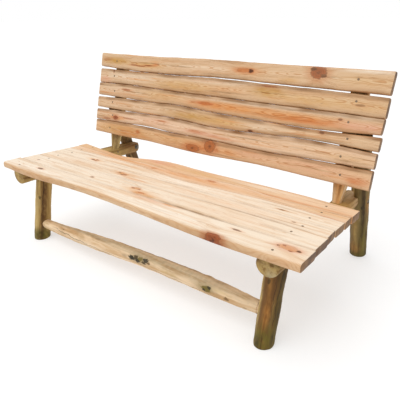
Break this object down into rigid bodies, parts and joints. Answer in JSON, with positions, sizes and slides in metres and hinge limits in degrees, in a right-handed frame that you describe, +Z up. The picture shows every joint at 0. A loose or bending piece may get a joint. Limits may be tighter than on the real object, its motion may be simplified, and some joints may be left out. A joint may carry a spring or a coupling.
{
  "type": "log bench",
  "caption": "Rustic slatted bench of treated pine poles, with a raked slab back, splayed legs lapped to two bearers, and a front stretcher.",
  "frame": {"origin": "on the floor, midway between the front edge of the seat and the backs of the rear feet, and midway between the two ends", "axes": "+X along the bench, to the right of someone who faces it from the front; +Y from the front of the seat towards the back; +Z up"},
  "size_m": [1.8, 0.9495, 0.941],
  "materials": {
    "sawn_slab": "sanded pale pine with knots and waney edges",
    "treated_log": "peeled pole, pressure treated to an olive brown, satin",
    "stretcher_pole": "peeled tan pole with dark bark remains, satin",
    "galvanised": "dull galvanised"
  },
  "bodies": {
    "root": {"seat_slat_1": "sawn_slab", "seat_slat_2": "sawn_slab", "seat_slat_3": "sawn_slab", "seat_slat_4": "sawn_slab", "seat_slat_5": "sawn_slab", "seat_slat_6": "sawn_slab", "back_board_1": "sawn_slab", "back_board_2": "sawn_slab", "back_board_3": "sawn_slab", "back_board_4": "sawn_slab", "back_board_5": "sawn_slab", "back_board_6": "sawn_slab", "left_bearer": "treated_log", "left_front_leg": "treated_log", "left_rear_leg": "treated_log", "left_back_post": "treated_log", "right_bearer": "treated_log", "right_front_leg": "treated_log", "right_rear_leg": "treated_log", "right_back_post": "treated_log", "front_stretcher": "stretcher_pole", "seat_nails": "galvanised", "back_nails": "galvanised", "front_leg_bolts": "galvanised", "rear_leg_bolts": "galvanised", "back_post_bolts": "galvanised", "bolt_washers": "galvanised", "bolt_nuts": "galvanised", "tenon_nails": "galvanised"}
  },
  "joints": []
}
